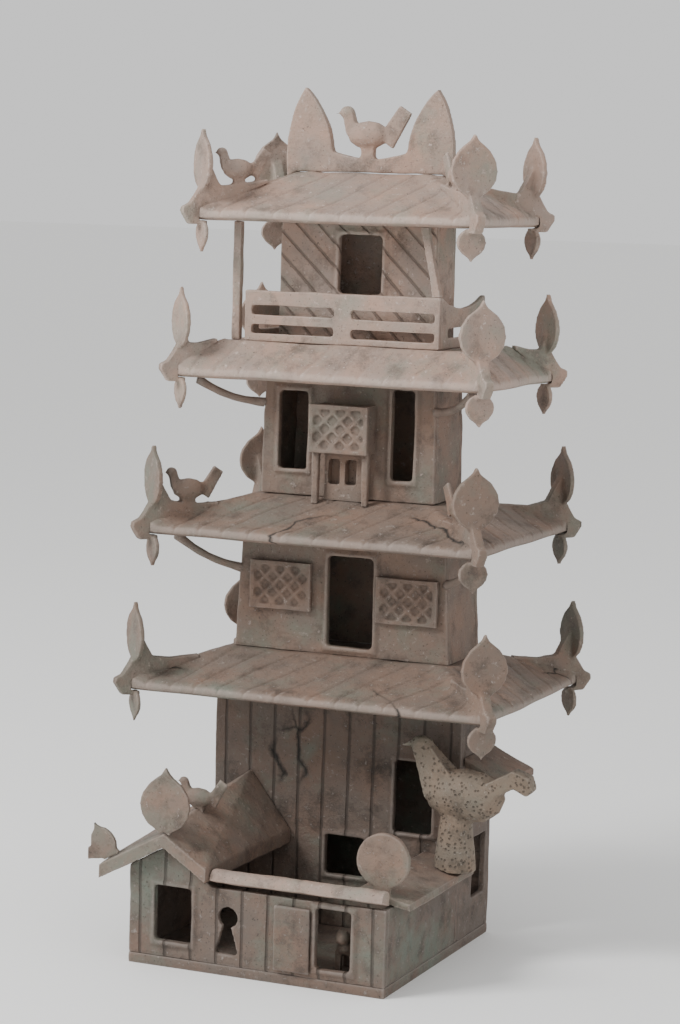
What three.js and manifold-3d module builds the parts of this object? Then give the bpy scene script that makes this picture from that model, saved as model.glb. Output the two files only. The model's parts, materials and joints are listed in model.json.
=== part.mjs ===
import * as THREE from 'three';
import { mergeVertices } from 'three/addons/utils/BufferGeometryUtils.js';
import { ConvexGeometry } from 'three/addons/geometries/ConvexGeometry.js';
import Module from 'manifold-3d';

const wasm = await Module();
wasm.setup();

// Driving sizes in millimetres. X runs right, Y back, Z up; the origin is the middle of the underside.
const wall = 9;
const gap = 0.3;
const base = { width: 328, depth: 338, thick: 12 };
const towerFront = 57;
const towerMiddle = 113;
const courtyardTop = 104;
const eaveThick = 12;
const roof1 = { width: 467, depth: 328, z: 302, top: 350, topWidth: 300, topDepth: 124 };
const roof2 = { width: 429, depth: 322, z: 494, top: 541, topWidth: 246, topDepth: 110 };
const roof3 = { width: 402, depth: 243, z: 683, top: 728, topWidth: 304, topDepth: 164 };
const roof4 = { width: 361, depth: 225, z: 872, top: 932, topWidth: 190, topDepth: 10 };
const storey2 = { low: 142, high: 134, front: 59, back: 167 };
const storey3 = { low: 115, high: 112, front: 66, back: 160 };
const storey4 = { low: 103, high: 101, front: 80, back: 147 };
const railing = { half: 127, front: 34, thick: 8, back: 186, height: 62, sag: 14 };
const gateThick = 18;
const gate = { left: -197, apex: -113, right: -57, front: -185, leftZ: 100, apexZ: 146, rightZ: 110, rearRise: 34 };
const sideCoping = { inner: base.width / 2 - 43, outer: base.width / 2 + 22, innerZ: 113, outerZ: 100, thick: 10 };
const disc = { x: base.width / 2 - 14, z: 156, radius: 33, thick: 10, neck: 10 };
const leaf = { width: 60, height: 74, lift: 24, thick: 7, reach: -14 };
const finLength = 92;
const finThick = 13;
const pendant = { width: 38, drop: 40, thick: 6 };

// A closed geometry becomes a solid for joining and cutting, and back again.
function toSolid(geometry) {
  const bare = geometry.index ? geometry.toNonIndexed() : geometry.clone();
  bare.deleteAttribute('normal');
  bare.deleteAttribute('uv');
  const merged = mergeVertices(bare, 1e-4);
  return new wasm.Manifold(new wasm.Mesh({
    numProp: 3,
    vertProperties: new Float32Array(merged.attributes.position.array),
    triVerts: new Uint32Array(merged.index.array),
  }));
}

function toGeometry(solid) {
  const mesh = solid.getMesh();
  const geometry = new THREE.BufferGeometry();
  geometry.setAttribute('position', new THREE.BufferAttribute(new Float32Array(mesh.vertProperties), 3));
  geometry.setIndex(new THREE.BufferAttribute(new Uint32Array(mesh.triVerts), 1));
  return geometry;
}

function join(solids) {
  return solids.reduce((whole, piece) => whole.add(piece));
}

function block(x0, x1, y0, y1, z0, z1) {
  const box = new THREE.BoxGeometry(x1 - x0, y1 - y0, z1 - z0);
  box.translate((x0 + x1) / 2, (y0 + y1) / 2, (z0 + z1) / 2);
  return toSolid(box);
}

function hull(points) {
  return toSolid(new ConvexGeometry(points.map((p) => new THREE.Vector3(...p))));
}

// A flat outline in X and Z, given thickness from y0 to y1.
function plate(shape, y0, y1, curveSegments = 6) {
  const geometry = new THREE.ExtrudeGeometry(shape, { depth: y1 - y0, bevelEnabled: false, curveSegments });
  geometry.rotateX(Math.PI / 2);
  geometry.translate(0, y1, 0);
  return toSolid(geometry);
}

function outline(points) {
  return new THREE.Shape(points.map(([x, z]) => new THREE.Vector2(x, z)));
}

function ball(x, y, z, rx, ry, rz) {
  const sphere = new THREE.SphereGeometry(1, 12, 8);
  sphere.scale(rx, ry, rz);
  sphere.translate(x, y, z);
  return toSolid(sphere);
}

const clay = { pale: 0xb09a8a, warm: 0x9a8372, dark: 0x857263, glaze: 0x8a8c7c };
const tower = new THREE.Group();

function add(name, solid, color) {
  const material = new THREE.MeshStandardMaterial({ color, roughness: 0.85, metalness: 0 });
  const mesh = new THREE.Mesh(toGeometry(solid), material);
  mesh.name = name;
  tower.add(mesh);
}

// A hipped roof slab: a square-edged eave with four slopes rising to the deck that the next storey stands on.
function roofSolid(roof, grow = 0) {
  const ring = (width, depth, z) => [[-1, -1], [1, -1], [1, 1], [-1, 1]].map(([sx, sy]) =>
    [sx * (width / 2 + grow), towerMiddle + sy * (depth / 2 + grow), z]);
  return hull([
    ...ring(roof.width, roof.depth, roof.z - grow),
    ...ring(roof.width, roof.depth, roof.z + eaveThick + grow),
    ...ring(roof.topWidth, roof.topDepth, roof.top + grow),
  ]);
}

// The pointed leaf, drawn from its stalk up to its tip.
function leafShape(width, height) {
  const shape = new THREE.Shape();
  shape.moveTo(-width * 0.14, 0);
  shape.bezierCurveTo(-width * 0.6, height * 0.16, -width * 0.66, height * 0.62, -width * 0.08, height * 0.88);
  shape.lineTo(0, height);
  shape.lineTo(width * 0.08, height * 0.88);
  shape.bezierCurveTo(width * 0.66, height * 0.62, width * 0.6, height * 0.16, width * 0.14, 0);
  return shape;
}

// A small bird in X and Z that looks towards -X, with its tail raised and its breast on the ridge below it.
function birdSolid(x, y, z, size) {
  const tail = outline([[size * 0.2, size * 0.25], [size * 0.62, size * 0.85], [size * 0.86, size * 0.7],
    [size * 0.5, size * 0.05]]);
  const body = ball(0, 0, size * 0.3, size * 0.42, size * 0.2, size * 0.27);
  const neck = hull([[-0.42, 0.3], [-0.14, 0.28], [-0.5, 0.66], [-0.3, 0.72]].flatMap(([px, pz]) =>
    [[px * size, -size * 0.1, pz * size], [px * size, size * 0.1, pz * size]]));
  const head = ball(-size * 0.42, 0, size * 0.7, size * 0.15, size * 0.12, size * 0.13);
  const beak = hull([[-size * 0.5, -size * 0.05, size * 0.66], [-size * 0.5, size * 0.05, size * 0.66],
    [-size * 0.5, 0, size * 0.76], [-size * 0.74, 0, size * 0.66]]);
  const foot = block(-size * 0.12, size * 0.16, -size * 0.09, size * 0.09, -size * 0.12, size * 0.2);
  return join([body, neck, head, beak, foot, plate(tail, -size * 0.06, size * 0.06)]).translate([x, y, z]);
}

// One eave corner: hip fin, stem, upright leaf and hanging pendant, all in the plane of the diagonal.
function cornerSolid(roof, sx, sy, birdSize = 0) {
  const slopeRun = Math.min(roof.width - roof.topWidth, roof.depth - roof.topDepth) / 2;
  const inner = -Math.min(finLength, slopeRun * Math.SQRT2);
  const hipClimb = (roof.top - roof.z - eaveThick) / (slopeRun * Math.SQRT2);
  const outer = leaf.reach + leaf.thick;
  const fin = outline([[inner, 2 - inner * hipClimb], [inner * 0.6, 10 - inner * 0.6 * hipClimb],
    [inner * 0.35, 30], [leaf.reach, 62], [outer, 60], [outer, leaf.lift + 6], [0, 18], [7, 8],
    [16, 4],
    [17, -3], [7, -eaveThick - 6], [-16, -eaveThick - 6], [-16, 0], [inner, -4 - inner * hipClimb]]);
  const parts = [plate(fin, -finThick / 2, finThick / 2)];
  const upright = plate(leafShape(leaf.width, leaf.height), 0, leaf.thick);
  parts.push(upright.rotate([0, 0, 90]).translate([leaf.reach + leaf.thick, 0, leaf.lift]));
  const hanging = plate(leafShape(pendant.width, pendant.drop), 0, pendant.thick);
  parts.push(hanging.rotate([0, 0, 90]).rotate([0, 180, 0]).translate([-14, 0, -eaveThick]));
  const seat = [inner * 0.6, 0, 12 - inner * 0.6 * hipClimb];
  if (birdSize > 0) parts.push(birdSolid(0, 0, 0, birdSize).rotate([0, 0, 180]).translate(seat));
  const turn = THREE.MathUtils.radToDeg(Math.atan2(sy, sx));
  const corner = [sx * roof.width / 2, towerMiddle + sy * roof.depth / 2, roof.z + eaveThick];
  return join(parts).rotate([0, 0, turn]).translate(corner).subtract(roofSolid(roof, gap));
}

const corners = [['front_left', -1, -1], ['front_right', 1, -1], ['back_right', 1, 1], ['back_left', -1, 1]];

function addRoof(name, roof, color, birds = {}) {
  add(name, roofSolid(roof), color);
  for (const [side, sx, sy] of corners) {
    add(`${name}_${side}_leaf`, cornerSolid(roof, sx, sy, birds[side] ?? 0), color);
  }
}

// A raised border round a hole, on the wall's outer face at yFace.
const border = { width: 5, proud: 3 };
function borderSolid([x0, x1, z0, z1], yFace) {
  const w = border.width;
  const outside = block(x0 - w, x1 + w, yFace - border.proud, yFace + 1, z0 - w, z1 + w);
  return outside.subtract(block(x0, x1, yFace - border.proud - 1, yFace + 2, z0, z1));
}

// Four wall slabs of one storey, leaning in from its low to its high half width.
function wallSlab(low, high, y0, y1, z0, z1) {
  return hull([y0, y1].flatMap((y) => [[-low, y, z0], [low, y, z0], [-high, y, z1], [high, y, z1]]));
}

function sideSlab(side, s, z0, z1) {
  const at = (half, y, z) => [[side * half, y, z], [side * (half - wall), y, z]];
  return hull([s.front + wall, s.back - wall].flatMap((y) => [...at(s.low, y, z0), ...at(s.high, y, z1)]));
}

function addStorey(name, s, z0, z1, color, frontHoles, backHoles = []) {
  const cut = (solid, holes, y0, y1) => holes.reduce((rest, [x0, x1, low, high]) =>
    rest.subtract(block(x0, x1, y0 - 1, y1 + 1, low, high)), solid);
  const front = wallSlab(s.low, s.high, s.front, s.front + wall, z0, z1);
  const back = wallSlab(s.low, s.high, s.back - wall, s.back, z0, z1);
  const borders = frontHoles.map((hole) => borderSolid(hole, s.front));
  add(`${name}_front_wall`, join([cut(front, frontHoles, s.front, s.front + wall), ...borders]), color);
  add(`${name}_back_wall`, cut(back, backHoles, s.back - wall, s.back), color);
  add(`${name}_left_wall`, sideSlab(-1, s, z0, z1), color);
  add(`${name}_right_wall`, sideSlab(1, s, z0, z1), color);
}

// A framed panel with raised crossing bars on a thin back plate; yBack is its rear face.
function latticeSolid(x0, x1, z0, z1, yBack) {
  const frame = 6;
  const raised = 9;
  const plateThick = 4;
  const pitch = 20;
  const panel = block(x0, x1, yBack - raised, yBack, z0, z1);
  const inside = block(x0 + frame, x1 - frame, yBack - raised - 1, yBack - plateThick, z0 + frame, z1 - frame);
  let solid = panel.subtract(inside);
  const bars = [];
  const reach = (z1 - z0) / 2;
  for (let x = x0 - reach; x <= x1 + reach; x += pitch) {
    for (const lean of [-1, 1]) {
      const half = reach * lean;
      const bar = outline([[x - half - 2.5, z0], [x - half + 2.5, z0], [x + half + 2.5, z1], [x + half - 2.5, z1]]);
      bars.push(plate(bar, yBack - raised + 1.5, yBack - plateThick + 1));
    }
  }
  const clip = block(x0 + 1, x1 - 1, yBack - raised, yBack, z0 + 1, z1 - 1);
  return solid.add(join(bars).intersect(clip));
}

function gateRoofSolid(grow = 0) {
  const slope = (eaveX, eaveZ) => {
    const points = [];
    for (const [y, rise] of [[gate.front, 0], [towerFront - gap, gate.rearRise]]) {
      const eaveRise = eaveX < gate.apex ? rise / 2 : 0;
      points.push([eaveX, y, eaveZ + eaveRise - grow], [eaveX, y, eaveZ + eaveRise + gateThick + grow]);
      points.push([gate.apex, y, gate.apexZ + rise - grow], [gate.apex, y, gate.apexZ + rise + gateThick + grow]);
    }
    return hull(points);
  };
  return slope(gate.left, gate.leftZ).add(slope(gate.right, gate.rightZ));
}

function sideCopingSolid() {
  const y0 = -base.depth / 2 + wall + 9;
  const points = [y0, towerFront - gap].flatMap((y) => [
    [sideCoping.inner, y, sideCoping.innerZ],
    [sideCoping.outer, y, sideCoping.outerZ],
    [sideCoping.inner, y, sideCoping.innerZ + sideCoping.thick],
    [sideCoping.outer, y, sideCoping.outerZ + sideCoping.thick],
  ]);
  const round = new THREE.CylinderGeometry(disc.radius, disc.radius, disc.thick, 28);
  round.translate(disc.x, y0 + disc.thick / 2, disc.z);
  const neck = block(disc.x - disc.neck, disc.x + disc.neck, y0, y0 + disc.thick, sideCoping.innerZ, disc.z);
  return join([hull(points), toSolid(round), neck]);
}

function addCourtyard() {
  const x = base.width / 2;
  const front = -base.depth / 2;
  add('base_slab', block(-x, x, front, -front, 0, base.thick), clay.dark);
  const gableTop = gate.apexZ + 4;
  let frontWall = plate(outline([[-x, base.thick], [x, base.thick], [x, courtyardTop], [gate.right, courtyardTop],
    [gate.apex, gableTop], [-x, courtyardTop + 18]]), front, front + wall);
  frontWall = frontWall.subtract(gateRoofSolid(gap));
  for (const hole of [[-129, -82, 32, 98], [78, 121, 25, 96]]) {
    const [x0, x1, z0, z1] = hole;
    frontWall = frontWall.subtract(block(x0, x1, front - 1, front + wall + 1, z0, z1)).add(borderSolid(hole, front));
  }
  const keyhole = new THREE.Shape();
  keyhole.moveTo(-51, 26);
  keyhole.lineTo(-22, 26);
  keyhole.lineTo(-32, 60);
  keyhole.absarc(-35, 70, 12, -Math.PI / 3, Math.PI * 4 / 3, false);
  frontWall = frontWall.subtract(plate(keyhole, front - 1, front + wall + 1));
  add('courtyard_front_wall', frontWall, clay.dark);
  const side = (x0, x1, top) => block(x0, x1, front + wall, towerFront, base.thick, top);
  add('courtyard_left_wall', side(-x, -x + wall, courtyardTop + 13), clay.dark);
  add('courtyard_right_wall', side(x - wall, x, courtyardTop), clay.dark);
  const coping = new THREE.Shape();
  coping.moveTo(-13, 0);
  coping.absarc(0, 9, 13, Math.PI, 0, true);
  coping.lineTo(13, 0);
  const roll = new THREE.ExtrudeGeometry(coping, { depth: 162 - gate.right - 1, bevelEnabled: false, curveSegments: 8 });
  roll.rotateX(Math.PI / 2);
  roll.rotateZ(Math.PI / 2);
  roll.translate(gate.right + 1, front + wall / 2, courtyardTop);
  add('front_coping', toSolid(roll), clay.pale);
  add('gate_roof', gateRoofSolid(), clay.warm);
  add('right_coping', sideCopingSolid(), clay.warm);
}

function addGroundStorey() {
  const x = base.width / 2;
  const back = base.depth / 2;
  const wallTop = roof1.z;
  let front = block(-x, x, towerFront, towerFront + wall, base.thick, wallTop);
  for (const hole of [[-10, 41, 78, 127], [79, 128, 141, 229]]) {
    const [x0, x1, z0, z1] = hole;
    front = front.subtract(block(x0, x1, towerFront - 1, towerFront + wall + 1, z0, z1));
    front = front.add(borderSolid(hole, towerFront));
  }
  add('ground_front_wall', front, clay.dark);
  add('ground_back_wall', block(-x, x, back - wall, back, base.thick, wallTop), clay.dark);
  add('ground_left_wall', block(-x, -x + wall, towerFront + wall, back - wall, base.thick, wallTop), clay.dark);
  const right = block(x - wall, x, towerFront + wall, back - wall, base.thick, wallTop);
  add('ground_right_wall', right.subtract(block(x - wall - 1, x + 1, 109, 153, 57, 132)), clay.dark);
  add('side_canopy', hull([[x + gap, 64, 228], [x + gap, 64, 240], [x + gap, 166, 228], [x + gap, 166, 240],
    [212, 60, 208], [212, 60, 218], [218, 170, 204], [218, 170, 214]]), clay.warm);
}

function addCourtyardFigures() {
  const front = -base.depth / 2;
  add('door_leaf', block(26, 72, front - 7, front - gap, 17, 95), clay.dark);
  const apexTop = gate.apexZ + gateThick;
  const upright = plate(leafShape(66, 78), -183, -176).translate([gate.apex, 0, apexTop + 1]);
  const stalk = block(gate.apex - 7, gate.apex + 7, -183, -176, apexTop - 8, apexTop + 10);
  add('gate_leaf', upright.add(stalk).subtract(gateRoofSolid(gap)), clay.warm);
  const tip = plate(leafShape(34, 48), -180, -174).rotate([0, -28, 0]).translate([-2, 0, 4]);
  const hook = plate(outline([[-32, 0], [10, 6], [10, 16], [-32, 16]]), -180, -174);
  const cornerTip = tip.add(hook);
  add('gate_corner_leaf', cornerTip.translate([gate.left + 14, 0, gate.leftZ + gateThick + 2])
    .subtract(gateRoofSolid(gap)), clay.warm);
  const birdY = -92;
  const foot = birdSolid(gate.apex, birdY, gate.apexZ + gateThick + 12, 46);
  add('gate_bird', foot.subtract(gateRoofSolid(gap)), clay.warm);
  const perch = { x: base.width / 2 + 10, y: 20, low: 112, high: 186 };
  const pedestal = new THREE.CylinderGeometry(19, 26, perch.high - perch.low, 20);
  pedestal.rotateX(Math.PI / 2);
  pedestal.translate(0, 0, (perch.low + perch.high) / 2);
  const wedge = (points) => hull(points.flatMap(([x, z, half]) => [[x, -half, z], [x, half, z]]));
  const hen = [toSolid(pedestal), ball(10, 0, 204, 52, 27, 34), ball(-46, 0, 262, 15, 10, 10),
    wedge([[-36, 196, 14], [4, 222, 18], [-58, 256, 7], [-36, 264, 8]]),
    wedge([[-54, 256, 5], [-54, 268, 4], [-74, 256, 2]]),
    wedge([[34, 196, 18], [40, 224, 18], [72, 242, 13], [76, 222, 13]]),
    wedge([[70, 222, 13], [70, 243, 13], [92, 236, 12], [98, 220, 10], [90, 212, 11]])];
  const below = block(perch.x - 90, perch.x + 60, -60, 100, 60, sideCoping.outerZ);
  const clearCoping = below.add(sideCopingSolid().translate([0, 0, gap]));
  add('big_bird', join(hen).translate([perch.x, perch.y, 0]).subtract(clearCoping), clay.glaze);
  const legs = [[88, -124], [88, -100], [106, -124], [106, -100]].map(([x, y]) =>
    block(x - 4, x + 4, y - 4, y + 4, base.thick, 38));
  const dog = [ball(97, -112, 42, 14, 24, 12), ball(97, -134, 56, 10, 11, 10),
    hull([[90, -136, 60], [94, -136, 60], [92, -134, 72], [91, -132, 60]]),
    hull([[100, -136, 60], [104, -136, 60], [102, -134, 72], [103, -132, 60]])];
  add('courtyard_dog', join([...dog, ...legs]), clay.warm);
}

function addUpperStoreys() {
  addRoof('roof_1', roof1, clay.warm);
  addStorey('second', storey2, roof1.top, roof2.z, clay.warm, [[-17, 42, 361, 471]], [[60, 84, 400, 470]]);
  add('second_left_lattice', latticeSolid(-119, -37, 401, 461, storey2.front - gap), clay.warm);
  add('second_right_lattice', latticeSolid(48, 128, 395, 452, storey2.front - gap), clay.warm);
  addRoof('roof_2', roof2, clay.warm, { front_left: 52, front_right: 52 });
  addStorey('third', storey3, roof2.top, roof3.z, clay.warm, [[-90, -53, 574, 668], [58, 86, 568, 676]]);
  const bayFront = 38;
  const box = block(-33, 38, bayFront, storey3.front - gap, 598, 657);
  const porch = block(-24, 28, bayFront + 14, storey3.front - gap, 515, 600);
  const slots = [-18, 4].map((x) => block(x, x + 14, bayFront, storey3.front + 1, 560, 590));
  const posts = [-35, 30].map((x) => block(x, x + 9, bayFront, bayFront + 10, 515, 600));
  const bay = join([box, porch, ...posts]).subtract(join(slots)).subtract(roofSolid(roof2, gap));
  add('bay', bay, clay.warm);
  add('bay_lattice', latticeSolid(-36, 41, 598, 657, bayFront - gap), clay.warm);
  addRoof('roof_3', roof3, clay.pale);
}

function railSlots(solid, along, y0, y1) {
  return along.reduce((rest, [x0, x1, z0, z1]) => rest.subtract(block(x0, x1, y0 - 1, y1 + 1, z0, z1)), solid);
}

function addBalcony() {
  const top = roof3.top + railing.height;
  const frontRail = block(-railing.half, railing.half, railing.front, railing.front + railing.thick, roof3.top, top);
  const slots = [[-117, -10, 761, 771], [-117, -10, 738, 748], [14, 119, 760, 770], [14, 119, 737, 747]];
  add('railing_front', railSlots(frontRail, slots, railing.front, railing.front + railing.thick), clay.pale);
  const run = railing.back - railing.front - railing.thick;
  for (const [name, x] of [['railing_left', -railing.half], ['railing_right', railing.half - railing.thick]]) {
    const shape = new THREE.Shape();
    shape.moveTo(0, roof3.top);
    shape.lineTo(run, roof3.top);
    shape.lineTo(run, top);
    shape.quadraticCurveTo(run / 2, top - 2 * railing.sag, 0, top);
    const panel = plate(shape, 0, railing.thick).rotate([0, 0, 90]);
    const placed = panel.translate([x + railing.thick, railing.front + railing.thick, 0]);
    const slot = block(x - 1, x + railing.thick + 1, railing.front + 30, railing.back - 22, 742, 752);
    add(name, placed.subtract(slot), clay.pale);
  }
  addStorey('fourth', storey4, roof3.top, roof4.z, clay.pale, [[-23, 32, 788, 858]]);
  add('left_post', block(-146, -135, 38, 49, roof3.top, roof4.z - gap), clay.pale);
  add('right_post', hull([[115, 36, top], [126, 36, top], [115, 46, top], [126, 46, top],
    [97, 36, roof4.z - gap], [108, 36, roof4.z - gap], [97, 46, roof4.z - gap], [108, 46, roof4.z - gap]]), clay.pale);
}

function addTop() {
  addRoof('roof_4', roof4, clay.pale, { front_left: 50, front_right: 50 });
  const foot = roof4.top - 12;
  const end = { outer: 108, tipX: 86, tipZ: 1034, inner: 48, saddle: 958 };
  const ridge = new THREE.Shape();
  ridge.moveTo(-end.outer, foot);
  ridge.lineTo(end.outer, foot);
  ridge.quadraticCurveTo(end.outer + 8, 992, end.tipX, end.tipZ);
  ridge.quadraticCurveTo(end.inner + 6, 1006, end.inner, end.saddle);
  ridge.quadraticCurveTo(0, 942, -end.inner, end.saddle);
  ridge.quadraticCurveTo(-end.inner - 6, 1006, -end.tipX, end.tipZ);
  ridge.quadraticCurveTo(-end.outer - 8, 992, -end.outer, foot);
  const spine = plate(ridge, towerMiddle - 6, towerMiddle + 6, 8);
  const bird = birdSolid(-4, towerMiddle, 958, 66);
  add('main_ridge', spine.add(bird).subtract(roofSolid(roof4, gap)), clay.pale);
}

addCourtyard();
addGroundStorey();
addCourtyardFigures();
addUpperStoreys();
addBalcony();
addTop();

export default tower;
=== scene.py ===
import json
import math

import bpy
from mathutils import Matrix, Vector, noise


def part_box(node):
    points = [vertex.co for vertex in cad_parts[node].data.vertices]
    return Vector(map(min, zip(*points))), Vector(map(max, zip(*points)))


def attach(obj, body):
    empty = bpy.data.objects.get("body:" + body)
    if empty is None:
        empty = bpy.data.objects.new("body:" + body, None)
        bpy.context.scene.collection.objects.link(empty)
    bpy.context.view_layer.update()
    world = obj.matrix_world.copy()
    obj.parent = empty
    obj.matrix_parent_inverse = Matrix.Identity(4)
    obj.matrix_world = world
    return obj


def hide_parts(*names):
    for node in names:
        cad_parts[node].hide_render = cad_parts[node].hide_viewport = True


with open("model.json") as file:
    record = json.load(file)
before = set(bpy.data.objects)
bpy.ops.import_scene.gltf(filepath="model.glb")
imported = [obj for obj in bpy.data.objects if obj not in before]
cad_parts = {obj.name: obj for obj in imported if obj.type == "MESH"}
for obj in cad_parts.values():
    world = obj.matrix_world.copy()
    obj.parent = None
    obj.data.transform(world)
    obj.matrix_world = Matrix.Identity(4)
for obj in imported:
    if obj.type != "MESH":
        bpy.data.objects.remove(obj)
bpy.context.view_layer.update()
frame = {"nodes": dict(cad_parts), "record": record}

mm = 0.001


# the camera stands where the photograph was taken from
view = {
    "azimuth": 23.5,
    "elevation": 8.085,
    "roll": 1.548,
    "distance": 3.4,
    "aimHeight": 0.45,
    "lens": 100.09,
    "sensorWidth": 36,
    "shiftX": 0.0177,
    "shiftY": 0.0664,
    "farthest": 50,
}


def makeCamera():
    az = math.radians(view["azimuth"])
    el = math.radians(view["elevation"])
    roll = math.radians(view["roll"])
    back = Vector((math.sin(az) * math.cos(el), -math.cos(az) * math.cos(el), math.sin(el)))
    right = Vector((math.cos(az), math.sin(az), 0))
    up = back.cross(right)
    tiltedRight = right * math.cos(roll) + up * math.sin(roll)
    tiltedUp = up * math.cos(roll) - right * math.sin(roll)
    data = bpy.data.cameras.new("camera")
    data.lens = view["lens"]
    data.sensor_width = view["sensorWidth"]
    data.shift_x = view["shiftX"]
    data.shift_y = view["shiftY"]
    data.clip_end = view["farthest"]
    camera = bpy.data.objects.new("camera", data)
    turn = Matrix((tiltedRight, tiltedUp, back)).transposed().to_4x4()
    aim = Vector((0, 0, view["aimHeight"]))
    camera.matrix_world = Matrix.Translation(aim + back * view["distance"]) @ turn
    bpy.context.scene.collection.objects.link(camera)
    bpy.context.scene.camera = camera
    print("camera placed")


# fired clay: the body, the earth stains on it, whose colour also paints shade into hollows and cut
# marks, and what is left of the glaze
clay = {
    "dark_clay": {
        "body": (0.120, 0.094, 0.077),
        "stainAndShade": (0.034, 0.025, 0.019),
        "glaze": (0.125, 0.140, 0.112),
    },
    "warm_clay": {
        "body": (0.165, 0.126, 0.101),
        "stainAndShade": (0.055, 0.039, 0.030),
        "glaze": (0.15, 0.152, 0.12),
    },
    "pale_clay": {
        "body": (0.30, 0.232, 0.194),
        "stainAndShade": (0.105, 0.077, 0.059),
        "glaze": (0.24, 0.235, 0.19),
    },
    "glazed_clay": {
        "body": (0.17, 0.142, 0.11),
        "stainAndShade": (0.06, 0.047, 0.035),
        "glaze": (0.175, 0.17, 0.13),
    },
}
# patches of colour over the body, lowest first; "covers" is where a patch starts and where it is full
patches = [
    {"tone": "warm", "scale": 16, "detail": 5, "roughness": 0.6, "covers": (0.38, 0.66)},
    {"tone": "glaze", "scale": 9, "detail": 7, "roughness": 0.7, "covers": (0.5, 0.68)},
    {"tone": "stainAndShade", "scale": 30, "detail": 9, "roughness": 0.75, "covers": (0.51, 0.7)},
    {"tone": "stainAndShade", "scale": 330, "detail": 5, "roughness": 0.7, "covers": (0.6, 0.68)},
    {"tone": "pale", "scale": 120, "detail": 8, "roughness": 0.78, "covers": (0.57, 0.68)},
]
surface = {
    "warmTint": (1.28, 1.08, 0.98),
    "paleGain": 1.5,
    "paleLift": 0.08,
    "rubbedEdges": (0.52, 0.6),
    # painted shade in hollows: the pointiness where the darkening starts and where it is full
    "shadeInHollows": (0.49, 0.42),
    "dull": {"scale": 22, "detail": 4, "roughness": 0.6, "least": 0.6, "most": 0.95},
    "grit": {"scale": 260, "detail": 8, "roughness": 0.7, "strength": 0.75, "depth": 1.6 * mm},
    "lumps": {"scale": 60, "detail": 5, "roughness": 0.6, "strength": 0.6, "depth": 3.2 * mm},
}


# marks cut or punched in the clay before firing; "line" is where a mark starts and where it is deepest
marks = {
    "scored": {"direction": "X", "scale": 9.5, "depth": 2.2 * mm, "line": (0.955, 1)},
    "hatched": {"direction": "DIAGONAL", "scale": 22, "depth": 1.8 * mm, "line": (0.9, 1)},
    "punched": {"scale": 190, "depth": 2.2 * mm, "line": (0.32, 0.2)},
}
markFinish = {"waver": 0.5, "waverScale": 0.6, "strength": 0.9, "shade": 0.65}
cracks = {
    "colour": (0.012, 0.010, 0.008),
    "scale": 4.2,
    "width": 0.014,
    "bend": 0.07,
    "bends": {"scale": 14, "detail": 6, "roughness": 0.5},
    "places": {"scale": 4, "detail": 2, "roughness": 0.6, "covers": (0.5, 0.54)},
}
# the solids with a clay of their own: its colours, its mark, and whether it is cracked
ownClay = {
    "ground_front_wall": ("dark_clay", "scored", True),
    "courtyard_front_wall": ("dark_clay", "scored", False),
    "courtyard_right_wall": ("dark_clay", "scored", True),
    "fourth_front_wall": ("pale_clay", "hatched", False),
    "big_bird": ("glazed_clay", "punched", False),
    "gate_roof": ("warm_clay", None, True),
    "roof_1": ("warm_clay", None, True),
    "roof_2": ("warm_clay", None, True),
}


def addNode(tree, kind, wires, values=None, **settings):
    node = tree.nodes.new(kind)
    for setting, value in settings.items():
        setattr(node, setting, value)
    for socket, value in (values or {}).items():
        node.inputs[socket].default_value = value
    for socket, source in wires.items():
        tree.links.new(source, node.inputs[socket])
    return node


def addClouds(tree, place, spec):
    values = {"Scale": spec["scale"], "Detail": spec["detail"], "Roughness": spec["roughness"]}
    return addNode(tree, "ShaderNodeTexNoise", {"Vector": place}, values)


def addLimits(tree, source, low, high):
    values = {"From Min": low, "From Max": high}
    return addNode(tree, "ShaderNodeMapRange", {"Value": source}, values).outputs["Result"]


def addBlend(tree, share, first, second):
    wires = {"Factor": share}
    values = {}
    for socket, value in (("A", first), ("B", second)):
        if isinstance(value, tuple):
            values[socket] = (*value, 1)
        else:
            wires[socket] = value
    return addNode(tree, "ShaderNodeMix", wires, values, data_type="RGBA").outputs["Result"]


def addBump(tree, height, spec, wires, **settings):
    values = {"Strength": spec["strength"], "Distance": spec["depth"]}
    bump = addNode(tree, "ShaderNodeBump", {"Height": height, **wires}, values, **settings)
    return bump.outputs["Normal"]


def addMarks(tree, place, normal, spec):
    if "direction" in spec:
        values = {
            "Scale": spec["scale"],
            "Distortion": markFinish["waver"],
            "Detail Scale": markFinish["waverScale"],
        }
        wave = addNode(
            tree, "ShaderNodeTexWave", {"Vector": place}, values, bands_direction=spec["direction"])
        height = wave.outputs["Fac"]
    else:
        cells = addNode(tree, "ShaderNodeTexVoronoi", {"Vector": place}, {"Scale": spec["scale"]})
        height = cells.outputs["Distance"]
    cuts = addLimits(tree, height, *spec["line"])
    bumpSpec = {"strength": markFinish["strength"], "depth": spec["depth"]}
    shade = addNode(
        tree, "ShaderNodeMath", {0: cuts}, {1: markFinish["shade"]}, operation="MULTIPLY")
    return addBump(tree, cuts, bumpSpec, {"Normal": normal}, invert=True), shade.outputs["Value"]


def addCracks(tree, place):
    bends = addClouds(tree, place, cracks["bends"]).outputs["Color"]
    bend = (cracks["bend"], cracks["bend"], cracks["bend"])
    bent = addNode(
        tree, "ShaderNodeVectorMath", {0: bends, 2: place}, {1: bend}, operation="MULTIPLY_ADD")
    cells = addNode(
        tree, "ShaderNodeTexVoronoi", {"Vector": bent.outputs["Vector"]}, {"Scale": cracks["scale"]},
        feature="DISTANCE_TO_EDGE")
    lines = addLimits(tree, cells.outputs["Distance"], cracks["width"], 0)
    here = addClouds(tree, place, cracks["places"]).outputs["Fac"]
    here = addLimits(tree, here, *cracks["places"]["covers"])
    return addNode(tree, "ShaderNodeMath", {0: lines, 1: here}, operation="MULTIPLY").outputs["Value"]


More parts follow.
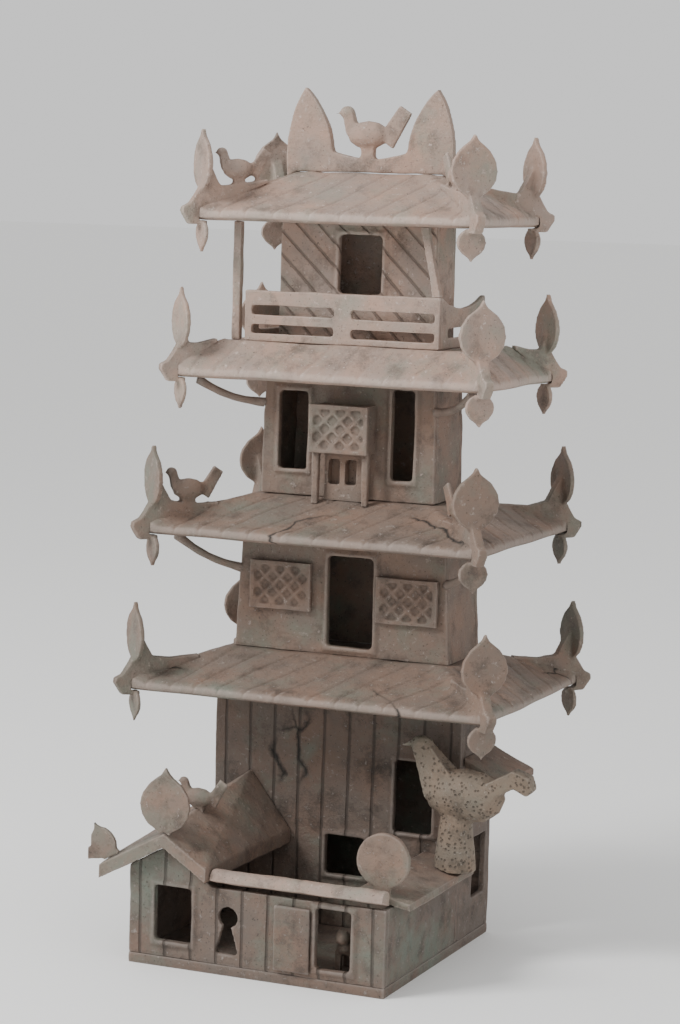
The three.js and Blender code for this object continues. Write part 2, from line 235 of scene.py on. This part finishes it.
def clayMaterial(name, colours, mark=None, cracked=False):
    material = bpy.data.materials.new(name)
    material.use_nodes = True
    tree = material.node_tree
    shader = tree.nodes["Principled BSDF"]
    place = addNode(tree, "ShaderNodeTexCoord", {}).outputs["Object"]

    body = colours["body"]
    warm = tuple(channel * tint for channel, tint in zip(body, surface["warmTint"]))
    pale = tuple(min(1, channel * surface["paleGain"] + surface["paleLift"]) for channel in body)
    tones = {**colours, "warm": warm, "pale": pale}
    colour = body
    for patch in patches:
        share = addLimits(tree, addClouds(tree, place, patch).outputs["Fac"], *patch["covers"])
        colour = addBlend(tree, share, colour, tones[patch["tone"]])
    corners = addNode(tree, "ShaderNodeNewGeometry", {}).outputs["Pointiness"]
    colour = addBlend(tree, addLimits(tree, corners, *surface["rubbedEdges"]), colour, pale)
    # painted shade: hollows are darkened towards the stain colour
    colour = addBlend(tree, addLimits(tree, corners, *surface["shadeInHollows"]), colour, tones["stainAndShade"])

    dull = surface["dull"]
    dullClouds = addClouds(tree, place, dull).outputs["Fac"]
    dullRange = {"To Min": dull["least"], "To Max": dull["most"]}
    dullness = addNode(tree, "ShaderNodeMapRange", {"Value": dullClouds}, dullRange).outputs["Result"]

    normal = None
    for layer in ("grit", "lumps"):
        height = addClouds(tree, place, surface[layer]).outputs["Fac"]
        normal = addBump(tree, height, surface[layer], {"Normal": normal} if normal else {})
    if mark:
        normal, shade = addMarks(tree, place, normal, marks[mark])
        colour = addBlend(tree, shade, colour, tones["stainAndShade"])
    if cracked:
        colour = addBlend(tree, addCracks(tree, place), colour, cracks["colour"])
    tree.links.new(colour, shader.inputs["Base Color"])
    tree.links.new(dullness, shader.inputs["Roughness"])
    tree.links.new(normal, shader.inputs["Normal"])
    return material


def makeMaterials():
    made = {name: clayMaterial(name, colours) for name, colours in clay.items()}
    for node, (slot, mark, cracked) in ownClay.items():
        made[node] = clayMaterial(f"{slot} of {node}", clay[slot], mark, cracked)
    print("clay materials made")
    return made


# every solid keeps its shape and gets soft edges, rubbed by hand, and an uneven skin
handFinish = {
    "slabs": ("base_slab", "gate_roof"),
    "flat": ("base_slab",),
    "slabVoxel": 2.4 * mm,
    "slabRubs": 1,
    "smallVoxel": 1.8 * mm,
    "smallRubs": 4,
    "rub": 0.5,
    "unevenness": 2.2 * mm,
    "inward": 0.72,
    "lumpSize": 0.035,
}


def softenPiece(piece, voxel, rubs):
    remesh = piece.modifiers.new("clay skin", "REMESH")
    remesh.mode = "VOXEL"
    remesh.voxel_size = voxel
    remesh.use_smooth_shade = True
    smooth = piece.modifiers.new("rubbed edges", "SMOOTH")
    smooth.factor = handFinish["rub"]
    smooth.iterations = rubs


def roughenPiece(piece, lumps):
    uneven = piece.modifiers.new("uneven slab", "DISPLACE")
    uneven.texture = lumps
    uneven.texture_coords = "LOCAL"
    uneven.strength = handFinish["unevenness"]
    uneven.mid_level = handFinish["inward"]


def finishSolids(materials):
    slots = {row["node"]: row["material_slot"] for row in frame["record"]["subparts"]}
    lumps = bpy.data.textures.new("clay lumps", "CLOUDS")
    lumps.noise_scale = handFinish["lumpSize"]
    for name, piece in frame["nodes"].items():
        piece.data.materials.clear()
        piece.data.materials.append(materials.get(name) or materials[slots[name]])
        if name in roofs:
            continue
        if name.endswith("_wall") or name in handFinish["slabs"]:
            softenPiece(piece, handFinish["slabVoxel"], handFinish["slabRubs"])
        else:
            softenPiece(piece, handFinish["smallVoxel"], handFinish["smallRubs"])
        if name not in handFinish["flat"]:
            roughenPiece(piece, lumps)
    print("solids softened and finished")


def makePiece(name, points, faces, material):
    mesh = bpy.data.meshes.new(name)
    mesh.from_pydata(points, [], faces)
    mesh.shade_smooth()
    mesh.materials.append(material)
    piece = bpy.data.objects.new(name, mesh)
    bpy.context.scene.collection.objects.link(piece)
    return piece


# the roofs, with scored tile lines, raised hips and drooping eaves; lengths here are in millimetres
roofs = {
    "roof_1": {"body": "second_storey", "slot": "warm_clay", "topWidth": 300, "topDepth": 124},
    "roof_2": {"body": "third_storey", "slot": "warm_clay", "topWidth": 246, "topDepth": 110},
    "roof_3": {"body": "fourth_storey", "slot": "pale_clay", "topWidth": 304, "topDepth": 164},
    "roof_4": {"body": "top_roof", "slot": "pale_clay", "topWidth": 190, "topDepth": 10},
}
roofSurface = {
    "step": 2.6,
    "eave": 12,
    "tile": 36,
    "lean": 0.55,
    "groove": 2.2,
    "grooveWidth": 1.8,
    "waver": 0.3,
    "waverScale": 0.01,
    "hip": 7,
    "hipWidth": 8,
    "hipSlope": 0.7,
    "hipFade": 0.3,
    "roundOver": 3.5,
    "roundUnder": 2.5,
    "roundWidth": 3,
    "uneven": 1.4,
    "unevenScale": 0.02,
}
roofEaves = {
    "overhang": 45,
    "sag": 6,
    "cornerPower": 4,
    "cornerLift": 0.3,
    "wave": 1.6,
    "waveScale": 0.012,
    "nibble": 1.2,
    "nibbleScale": 0.03,
    "nibbleWidth": 4,
    "nibbleLayer": 7,
}


def roofHeight(x, y, half, top, rise):
    s = roofSurface
    fromSide = (half[0] - abs(x)) / (half[0] - top[0])
    fromFront = (half[1] - abs(y)) / (half[1] - top[1])
    climb = max(0, min(fromSide, fromFront, 1))
    height = s["eave"] + rise * climb
    if climb < 1:
        along, depth = (x, half[1] - abs(y)) if fromFront < fromSide else (y, half[0] - abs(x))
        waver = s["waver"] * noise.noise(Vector((x, y, rise)) * s["waverScale"])
        share = (along - s["lean"] * depth) / s["tile"] + waver
        away = abs(share - round(share)) * s["tile"]
        height -= s["groove"] * math.exp(-(away / s["grooveWidth"]) ** 2)
        hipAway = abs(fromSide * (half[0] - top[0]) - fromFront * (half[1] - top[1])) * s["hipSlope"]
        height += s["hip"] * math.exp(-(hipAway / s["hipWidth"]) ** 2) * (1 - climb) ** s["hipFade"]
    edge = min(half[0] - abs(x), half[1] - abs(y))
    height -= s["roundOver"] * math.exp(-(edge / s["roundWidth"]) ** 2)
    height += s["uneven"] * noise.noise(Vector((x * s["unevenScale"], y * s["unevenScale"], rise)))
    return height


def roofPoint(x, y, upper, half, top, rise):
    e = roofEaves
    edge = min(half[0] - abs(x), half[1] - abs(y))
    overhang = max(0, 1 - edge / e["overhang"])
    towardsCorner = max(abs(x) / half[0], abs(y) / half[1]) ** e["cornerPower"]
    droop = e["sag"] * overhang ** 2 * (1 - towardsCorner - e["cornerLift"])
    waveAt = Vector((x * e["waveScale"], y * e["waveScale"], rise * 3))
    wave = e["wave"] * overhang * noise.noise(waveAt)
    if upper:
        z = roofHeight(x, y, half, top, rise)
    else:
        z = roofSurface["roundUnder"] * math.exp(-(edge / roofSurface["roundWidth"]) ** 2)
    nibbleAt = Vector((x * e["nibbleScale"], y * e["nibbleScale"], e["nibbleLayer"]))
    pull = 1 - e["nibble"] * abs(noise.noise(nibbleAt)) / max(half) * (edge < e["nibbleWidth"])
    return x * pull * mm, y * pull * mm, (z - droop + wave) * mm


# the upper and lower skins of the roof, and the narrow band round its edge
def roofFaces(columns, layers):
    lower = columns * layers
    faces = []
    for j in range(layers - 1):
        for i in range(columns - 1):
            a = j * columns + i
            faces.append((a, a + 1, a + columns + 1, a + columns))
            faces.append((lower + a, lower + a + columns, lower + a + columns + 1, lower + a + 1))
    rim = list(range(columns)) + [j * columns + columns - 1 for j in range(1, layers)]
    rim += [(layers - 1) * columns + i for i in range(columns - 2, -1, -1)]
    rim += [j * columns for j in range(layers - 2, 0, -1)]
    for a, b in zip(rim, rim[1:] + rim[:1]):
        faces.append((b, a, lower + a, lower + b))
    return faces


def makeRoof(name, spec, materials):
    low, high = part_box(name)
    half = [(high[k] - low[k]) / 2 / mm for k in (0, 1)]
    middle = [(high[k] + low[k]) / 2 for k in (0, 1)]
    top = [spec["topWidth"] / 2, spec["topDepth"] / 2]
    rise = (high[2] - low[2]) / mm - roofSurface["eave"]
    counts = [round(2 * size / roofSurface["step"]) for size in half]
    points = []
    for upper in (True, False):
        for j in range(counts[1] + 1):
            for i in range(counts[0] + 1):
                x = -half[0] + 2 * half[0] * i / counts[0]
                y = -half[1] + 2 * half[1] * j / counts[1]
                point = roofPoint(x, y, upper, half, top, rise)
                points.append((middle[0] + point[0], middle[1] + point[1], low[2] + point[2]))
    faces = roofFaces(counts[0] + 1, counts[1] + 1)
    material = materials.get(name) or materials[spec["slot"]]
    piece = makePiece(name + "_tiled", points, faces, material)
    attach(piece, spec["body"])
    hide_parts(name)
    print(name, "laid with scored tiles")


# thin struts that prop the eaves, from a foot on the wall up and out to a head; lengths in millimetres
struts = {
    "radius": 4.5,
    "bend": 6,
    "flare": 0.35,
    "grain": 0.12,
    "grainScale": 0.08,
    "sides": 12,
    "rings": 14,
    "places": [
        ("strut_third_left", "third_storey", (-113, 70, 652), (-178, 16, 680)),
        ("strut_third_right", "third_storey", (113, 70, 652), (178, 16, 680)),
        ("strut_second_left", "second_storey", (-135, 64, 447), (-196, 2, 490)),
        ("strut_second_right", "second_storey", (135, 64, 447), (196, 2, 490)),
    ],
}


def makeStrut(name, body, foot, head, materials):
    sides = struts["sides"]
    rings = struts["rings"]
    foot = Vector(foot)
    head = Vector(head)
    along = (head - foot).normalized()
    sideways = along.cross(Vector((0, 0, 1))).normalized()
    upward = sideways.cross(along)
    points = []
    for k in range(rings + 1):
        share = k / rings
        centre = foot.lerp(head, share) - upward * struts["bend"] * math.sin(math.pi * share)
        radius = struts["radius"] * (1 + struts["flare"] * abs(share * 2 - 1) ** 3)
        for n in range(sides):
            turn = 2 * math.pi * n / sides
            grainAt = centre * struts["grainScale"] + Vector((n, 0, 0))
            grain = 1 + struts["grain"] * noise.noise(grainAt)
            outward = sideways * math.cos(turn) + upward * math.sin(turn)
            points.append((centre + outward * radius * grain) * mm)
    faces = [tuple(range(sides)), tuple(range(rings * sides + sides - 1, rings * sides - 1, -1))]
    for k in range(rings):
        for n in range(sides):
            a = k * sides + n
            b = k * sides + (n + 1) % sides
            faces.append((b, a, a + sides, b + sides))
    piece = makePiece(name, points, faces, materials["warm_clay"])
    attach(piece, body)


# pale floor and soft studio light
studio = {
    "world": (1.0, 1.0, 1.0),
    "worldStrength": 0.9,
    "aim": (0, 0, 0.5),
    "key": {"place": (-2.0, -2.4, 2.9), "size": 1.3, "power": 145},
    "fill": {"place": (2.6, -1.9, 1.2), "size": 2.4, "power": 10},
    "floorReach": 40,
    "floorColour": (0.93, 0.93, 0.92),
    "floorRoughness": 0.9,
}


def makeLight(name):
    spec = studio[name]
    lamp = bpy.data.lights.new(name, "AREA")
    lamp.energy = spec["power"]
    lamp.size = spec["size"]
    light = bpy.data.objects.new(name, lamp)
    light.location = spec["place"]
    aim = Vector(studio["aim"]) - light.location
    light.rotation_euler = aim.to_track_quat("-Z", "Y").to_euler()
    bpy.context.scene.collection.objects.link(light)


def makeStudio():
    world = bpy.data.worlds.new("studio")
    world.use_nodes = True
    sky = world.node_tree.nodes["Background"]
    sky.inputs["Color"].default_value = (*studio["world"], 1)
    sky.inputs["Strength"].default_value = studio["worldStrength"]
    bpy.context.scene.world = world
    makeLight("key")
    makeLight("fill")
    paint = bpy.data.materials.new("floor paint")
    paint.use_nodes = True
    shader = paint.node_tree.nodes["Principled BSDF"]
    shader.inputs["Base Color"].default_value = (*studio["floorColour"], 1)
    shader.inputs["Roughness"].default_value = studio["floorRoughness"]
    reach = studio["floorReach"]
    points = [(-reach, -reach, 0), (reach, -reach, 0), (reach, reach, 0), (-reach, reach, 0)]
    floor = makePiece("floor", points, [(0, 1, 2, 3)], paint)
    print("studio lit")


makeCamera()
materials = makeMaterials()
finishSolids(materials)
for roofName, roofSpec in roofs.items():
    makeRoof(roofName, roofSpec, materials)
for strut in struts["places"]:
    makeStrut(*strut, materials)
print("struts set")
makeStudio()
